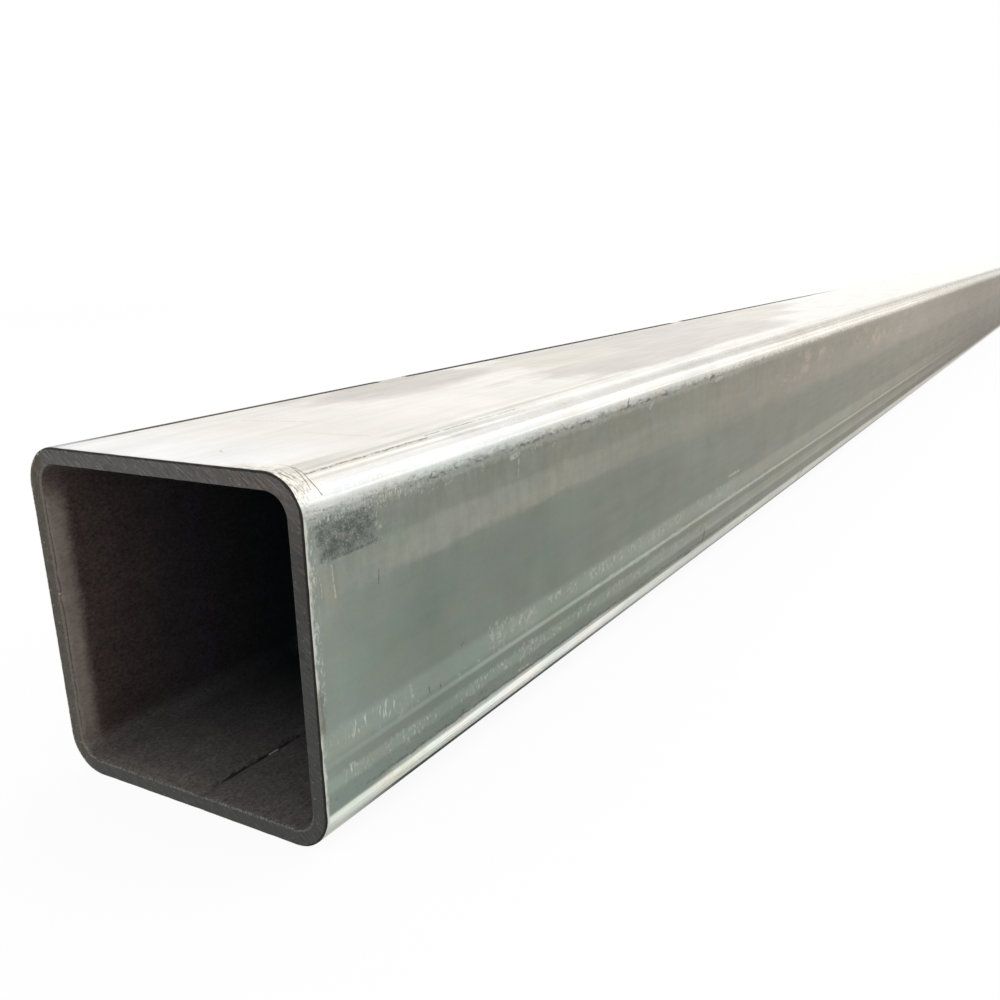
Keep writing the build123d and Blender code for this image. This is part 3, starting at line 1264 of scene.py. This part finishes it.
# %% Rim and stains beside each cut
rim_noise = skin.grain(place, (1.4, 3.0, 1), detail=4, rough=0.65, seed=12.0)
rim = skin.rise(shifted(from_cut, rim_noise, 3.6), 1.7, 0.7)
rim = skin.product(rim, skin.window(height, -44, 40, 4))
ground = skin.colour(skin.product(rim, 0.85), ground, paint(198, 199, 190))
stain = skin.rise(shifted(from_cut, rim_noise, 6.0), 3.2, 1.2)
stain = skin.product(stain, skin.window(drifting_height, -16, -4, 4))
ground = skin.colour(skin.product(stain, 0.7), ground, paint(104, 101, 93))
print("rim laid")

# %% [markdown]
# ## Painted dark lines, gloss and relief
#
# Bare steel is given Metallic 1. The dark lines under the low front bend and by the back bend are painted
# shade, where the edges turn away. Painting them dark isn't enough, because metal turns into a mirror at
# a grazing angle, whatever its colour, and a dark line would vanish there. So Metallic falls to 0 on these
# lines. Roughness is low on the polished bends and high on the patch, the scratches and the painted dark
# lines. The finest streaks are only a bump, as no outline shows them.

# %% Painted shade: dark lines under the low front bend and by the back bend
under_low_bend = skin.rise(low_bend_height, -43.5, -44.4)
low_shadow = skin.product(under_low_bend, skin.rise(along, 1100, 500), skin.rise(along, 0, 40))
low_shadow = skin.product(low_shadow, skin.number(skin.rise(along, 90, 260), 1.0, 0.48))
ground = skin.colour(low_shadow, ground, paint(40, 50, 46))
skin.connect(skin_shader.inputs["Base Color"], ground)
# The painted dark lines get no metal, so they stay dark at grazing angles.
painted_dark_lines = skin.math("MAXIMUM", low_shadow, back_shade_line)
skin.connect(skin_shader.inputs["Metallic"], skin.math("SUBTRACT", 1.0, painted_dark_lines))
print("oxide laid")

# %% Gloss and fine relief of the skin
gloss = skin.number(skin.rise(from_bend, 10, 6), 0.42, 0.27)
gloss = skin.number(on_top, gloss, 0.36)
gloss = skin.vary(gloss, skin.grain(place, (40, 3.0, 1), detail=3, seed=13.0), 0.35)
gloss = skin.number(patch, gloss, 0.6)
gloss = skin.number(dark_strokes, gloss, 0.6)
gloss = skin.number(painted_dark_lines, gloss, 1.0)
skin.connect(skin_shader.inputs["Roughness"], gloss)

relief = skin.grain(place, (40, 0.9, 1), detail=2, seed=14.0)
bump = skin.node("ShaderNodeBump")
bump.inputs["Strength"].default_value = 0.25
bump.inputs["Distance"].default_value = 0.00004
skin.connect(bump.inputs["Height"], relief)
skin.connect(skin_shader.inputs["Normal"], bump.outputs["Normal"])
tube_mesh.materials.append(mill_skin)
print("mill skin has", len(skin.tree.nodes), "nodes")

# %% [markdown]
# ## The sawn face
#
# A cold saw or a band saw leaves a dull, dark face, crossed by fine marks that all lean the same way,
# because the blade moved in one direction. The pattern belongs to the flat face, so it reads the plain
# object coordinates across the tube instead of the strip map, and runs unbroken from one side of the
# square to the next.

# %% Depth under the skin, across a cut
side_mm = side / MM


def depth_under_skin(wiring, sideways, upwards):
    """Millimetres inwards from the tube's rounded outline, for a point of a cut."""
    past_flat_sideways = wiring.math("SUBTRACT", wiring.math("ABSOLUTE", sideways), flat_mm)
    above_middle = wiring.math("ABSOLUTE", wiring.math("SUBTRACT", upwards, side_mm / 2))
    past_flat_upwards = wiring.math("SUBTRACT", above_middle, flat_mm)
    inside = wiring.math("MINIMUM", wiring.math("MAXIMUM", past_flat_sideways, past_flat_upwards), 0.0)
    sideways_reach = wiring.math("MAXIMUM", past_flat_sideways, 0.0)
    upwards_reach = wiring.math("MAXIMUM", past_flat_upwards, 0.0)
    square = wiring.math("MULTIPLY", upwards_reach, upwards_reach)
    squares = wiring.math("MULTIPLY_ADD", sideways_reach, sideways_reach, square)
    from_centre = wiring.math("ADD", wiring.math("SQRT", squares), inside)
    return wiring.math("SUBTRACT", bend_outside / MM, from_centre)


print("the bore's edge lies", round(wall / MM, 2), "mm under the skin")

# %% Sawn face
sawn_face, cut_shader, cut = new_finish("sawn_face", 0.7)
cut_place = cut.vector("SCALE", cut.node("ShaderNodeTexCoord").outputs["Object"], scale=1 / MM)
cut_apart = cut.node("ShaderNodeSeparateXYZ")
cut.connect(cut_apart.inputs[0], cut_place)
across = cut_apart.outputs["Y"]
up = cut_apart.outputs["Z"]
on_top_rim = cut.rise(up, 80, 94)
on_bottom_rim = cut.rise(up, 14, 8)
on_back_rim = cut.rise(across, 40, 46)
on_front_rim = cut.rise(across, -38, -44)
cut_depth = depth_under_skin(cut, across, up)
edge_noise = cut.grain(cut_place, (100, 1.6, 1.6), detail=4, rough=0.75, seed=4.0)
ragged_depth = cut.math("MULTIPLY_ADD", cut.math("SUBTRACT", edge_noise, 0.5), 1.1, cut_depth)

saw_lean = math.radians(-35)
saw_turn = cut.node("ShaderNodeVectorRotate", rotation_type="X_AXIS")
cut.connect(saw_turn.inputs["Vector"], cut_place)
saw_turn.inputs["Angle"].default_value = saw_lean
saw_place = saw_turn.outputs["Vector"]
saw_lines = cut.rise(cut.grain(saw_place, (100, 5.0, 0.5), detail=3, rough=0.65, seed=1.0), 0.38, 0.66)
saw_scores = cut.rise(cut.grain(saw_place, (100, 7.0, 0.45), detail=3, rough=0.6, seed=5.0), 0.57, 0.70)
saw_blotches = cut.grain(cut_place, (100, 3.0, 3.0), detail=4, rough=0.65, seed=2.0)
saw_grain = cut.grain(cut_place, (100, 0.6, 0.6), detail=3, rough=0.65, seed=3.0)
print("saw leans by", round(math.degrees(saw_lean)), "degrees")

# %% Tones of the sawn face
rim_tone = cut.colour(on_top_rim, paint(63, 63, 61), paint(86, 84, 82))
rim_tone = cut.colour(on_back_rim, rim_tone, paint(80, 74, 66))
dark_pits = cut.product(cut.rise(saw_blotches, 0.46, 0.58), on_back_rim)
rim_tone = cut.colour(cut.product(dark_pits, 0.7), rim_tone, paint(58, 57, 49))
cut_tone = cut.math("ADD", 1.0, 0.0)
saw_strength = cut.product(cut.rise(saw_blotches, 0.40, 0.58), cut.number(on_back_rim, 0.75, 0.15))
cut_tone = cut.vary(cut_tone, saw_lines, saw_strength)
cut_tone = cut.vary(cut_tone, saw_blotches, 0.7)
cut_tone = cut.vary(cut_tone, saw_grain, cut.number(on_back_rim, 0.7, 1.1))
rim_tone = cut.scaled(rim_tone, cut_tone)
rusty = cut.rise(saw_blotches, 0.44, 0.6)
rusty = cut.product(rusty, cut.rise(cut.math("SUBTRACT", up, across), 105, 135), 0.7)
rim_tone = cut.colour(rusty, rim_tone, (1.1, 0.9, 0.76, 1.0), blend="MULTIPLY")
scores = cut.product(saw_scores, cut.number(on_top_rim, 0.15, 0.7))
rim_tone = cut.colour(scores, rim_tone, paint(128, 123, 118))
print("saw marks laid")

# %% The edges of the sawn face: torn and speckled, with painted shade and painted light
edge_grains = cut.rise(saw_grain, 0.42, 0.60)
# Painted shade: a dark line along the outer edge of the top and front rims.
edge_shade = cut.rise(ragged_depth, 0.80, 0.45)
edge_shade = cut.product(edge_shade, cut.math("MAXIMUM", on_top_rim, on_front_rim), 0.95)
rim_tone = cut.colour(edge_shade, rim_tone, paint(26, 24, 22))
torn_edge = cut.product(cut.rise(ragged_depth, 0.9, 0.45), on_back_rim, cut.rise(saw_grain, 0.48, 0.58), 0.85)
rim_tone = cut.colour(torn_edge, rim_tone, paint(214, 205, 190))
# Painted highlight: a bright line along the inner edge of the bottom rim.
inner_edge_highlight = cut.product(cut.rise(ragged_depth, 4.05, 4.3), on_bottom_rim, edge_grains, 0.45)
rim_tone = cut.colour(inner_edge_highlight, rim_tone, paint(146, 142, 135))
# Painted light: the inner lip of the back rim is lighter, where the bevel faces the bore and gets little
# light.
inner_lip_light = cut.product(cut.rise(ragged_depth, 3.8, 4.4), on_back_rim, cut.number(edge_grains, 0.5, 0.9))
rim_tone = cut.colour(inner_lip_light, rim_tone, paint(112, 105, 96))
specks = cut.rise(cut.grain(cut_place, (100, 0.9, 0.9), detail=1, seed=6.0), 0.70, 0.78)
rim_tone = cut.colour(cut.product(specks, cut.number(on_back_rim, 0.35, 0.8)), rim_tone, paint(172, 167, 156))
cut.connect(cut_shader.inputs["Base Color"], rim_tone)
cut_shader.inputs["Roughness"].default_value = 0.55
cut_relief = cut.node("ShaderNodeBump")
cut_relief.inputs["Strength"].default_value = 0.35
cut_relief.inputs["Distance"].default_value = 0.00006
cut.connect(cut_relief.inputs["Height"], cut.math("ADD", saw_lines, saw_grain))
cut.connect(cut_shader.inputs["Normal"], cut_relief.outputs["Normal"])
tube_mesh.materials.append(sawn_face)
print("sawn face has", len(cut.tree.nodes), "nodes")

# %% [markdown]
# ## The bore
#
# Inside, the strip kept its dark scale, with a rusty tint where it was damp, and the tone is lighter at the
# mouth. One dark tone all through would do for a short tube, but far inside a long one hardly any light
# arrives, so there light is painted in: the tone is pale and bluish, or nothing would show at all. The
# bore reads the strip map too, so that its streaks run along the tube.

# %% Tones of the bore
bore_skin, bore_shader, bore = new_finish("bore_skin", 0.35)
bore_place, bore_along, bore_height = strip_coordinates(bore)
into_bore = bore.math("MINIMUM", bore_along, bore.math("SUBTRACT", length_mm, bore_along))
on_back = bore.window(bore_height, 1.5 * pitch_mm, 2.45 * pitch_mm, 14)
# Both tones darken from the mouth to 90 mm in. From 170 mm on they are painted light, pale and bluish.
floor_tone = bore.ramp(
    into_bore,
    (20, paint(90, 86, 84)),
    (45, paint(78, 76, 77)),
    (90, paint(34, 40, 43)),
    (170, paint(150, 168, 180)),
    (280, paint(220, 238, 252)),
)
back_tone = bore.ramp(
    into_bore,
    (5, paint(78, 65, 61)),
    (45, paint(58, 52, 56)),
    (100, paint(32, 39, 42)),
    (170, paint(150, 168, 180)),
    (280, paint(220, 238, 252)),
)
bore_tone = bore.colour(on_back, floor_tone, back_tone)
mouth_noise = bore.math("SUBTRACT", bore.grain(bore_place, (4, 12, 1), detail=3, seed=1.0), 0.5)
mouth_edge = bore.math("MULTIPLY_ADD", mouth_noise, 4.0, into_bore)
back_top = 2 * pitch_mm - flat_mm
mouth = bore.product(bore.rise(mouth_edge, 8.8, 3.8), bore.number(on_back, 0.1, 1.0))
mouth = bore.product(mouth, bore.number(bore.rise(bore_height, back_top - 6, back_top + 10), 0.1, 1.0))
bore_tone = bore.colour(mouth, bore_tone, paint(148, 136, 127))
print("bore tones laid")

# %% The weld line in the bore
strip_start_mm = strip_start / MM
strip_end_mm = strip_end / MM
past_weld = bore.math("SUBTRACT", bore_height, strip_start_mm)
before_weld = bore.math("SUBTRACT", strip_end_mm, bore_height)
from_weld = bore.math("MINIMUM", past_weld, before_weld)
weld_noise = bore.grain(bore_place, (2.2, 0.8, 1), detail=4, rough=0.75, seed=5.0)
ragged_weld = bore.math("MULTIPLY_ADD", bore.math("SUBTRACT", weld_noise, 0.5), 3.4, from_weld)
# Painted shadow: a dark ragged line beside the weld bead, broken by gaps.
weld_shadow = bore.product(bore.rise(ragged_weld, 0.9, 0.4), bore.rise(into_bore, 4, 9))
shadow_gaps = bore.rise(bore.grain(bore_place, (5, 5, 1), detail=3, seed=6.0), 0.36, 0.5)
weld_shadow = bore.product(weld_shadow, shadow_gaps, 0.9)
bore_tone = bore.colour(weld_shadow, bore_tone, paint(14, 14, 14))
# A small bright spot on the weld.
weld_bright_spot = bore.product(bore.rise(from_weld, 0.4, 0.2), bore.window(bore_along, 29.0, 33.0, 0.8))
bore_tone = bore.colour(weld_bright_spot, bore_tone, paint(196, 188, 178))
print("weld line laid")

# %% Speckle of the scale
bore_cast = bore.math("ADD", 1.0, 0.0)
bore_cast = bore.vary(bore_cast, bore.grain(bore_place, (60, 5, 1), detail=3, seed=2.0), 0.5)
bore_cast = bore.vary(bore_cast, bore.grain(bore_place, (9, 7, 1), detail=4, rough=0.7, seed=4.0), 0.9)
bore_speckle = bore.grain(bore_place, (1.3, 0.9, 1), detail=3, rough=0.75, seed=3.0)
bore_cast = bore.vary(bore_cast, bore_speckle, bore.number(mouth, 3.0, 0.8))
bore.connect(bore_shader.inputs["Base Color"], bore.scaled(bore_tone, bore_cast))
bore_shader.inputs["Roughness"].default_value = 0.6
tube_mesh.materials.append(bore_skin)
print("bore has", len(bore.tree.nodes), "nodes")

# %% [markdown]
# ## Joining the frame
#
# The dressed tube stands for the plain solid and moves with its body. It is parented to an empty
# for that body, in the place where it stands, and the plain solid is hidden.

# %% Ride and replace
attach(tube, "root")
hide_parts("square_tube")
